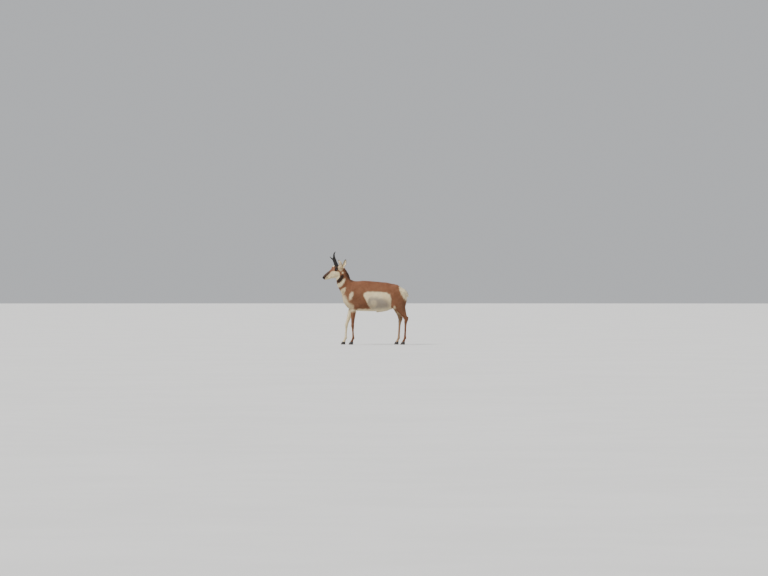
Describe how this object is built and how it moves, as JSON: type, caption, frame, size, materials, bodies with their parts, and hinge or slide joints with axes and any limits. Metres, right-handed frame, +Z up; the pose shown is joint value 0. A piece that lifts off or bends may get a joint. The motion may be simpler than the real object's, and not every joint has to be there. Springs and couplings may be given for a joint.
{
  "type": "pronghorn",
  "caption": "Life-size still model of a horned, hoofed grassland mammal, standing with its head raised on four slender legs.",
  "frame": {"origin": "on the floor, at the middle of the bottom of the whole animal's box", "axes": "+Z up, -X ahead towards the nose, -Y to the animal's left"},
  "size_m": [1.2076, 0.2816, 1.2933],
  "materials": {
    "coat": "short flat hair, tan above and white below",
    "hair": "longer hair of the mane, rump, tail and belly",
    "horn": "black horn sheath, rough below and smooth at the tip",
    "hoof": "dark worn hoof",
    "eye": "wet, nearly black"
  },
  "bodies": {
    "root": {"torso": "coat", "neck": "coat", "head": "coat", "tail": "hair", "ear_left": "coat", "ear_right": "coat", "eye_left": "eye", "eye_right": "eye", "horn_left": "horn", "horn_right": "horn", "foreleg_left_upper": "coat", "foreleg_left_lower": "coat", "foreleg_left_claw_outer": "hoof", "foreleg_left_claw_inner": "hoof", "foreleg_right_upper": "coat", "foreleg_right_lower": "coat", "foreleg_right_claw_outer": "hoof", "foreleg_right_claw_inner": "hoof", "hindleg_left_upper": "coat", "hindleg_left_lower": "coat", "hindleg_left_claw_outer": "hoof", "hindleg_left_claw_inner": "hoof", "hindleg_right_upper": "coat", "hindleg_right_lower": "coat", "hindleg_right_claw_outer": "hoof", "hindleg_right_claw_inner": "hoof"}
  },
  "joints": []
}
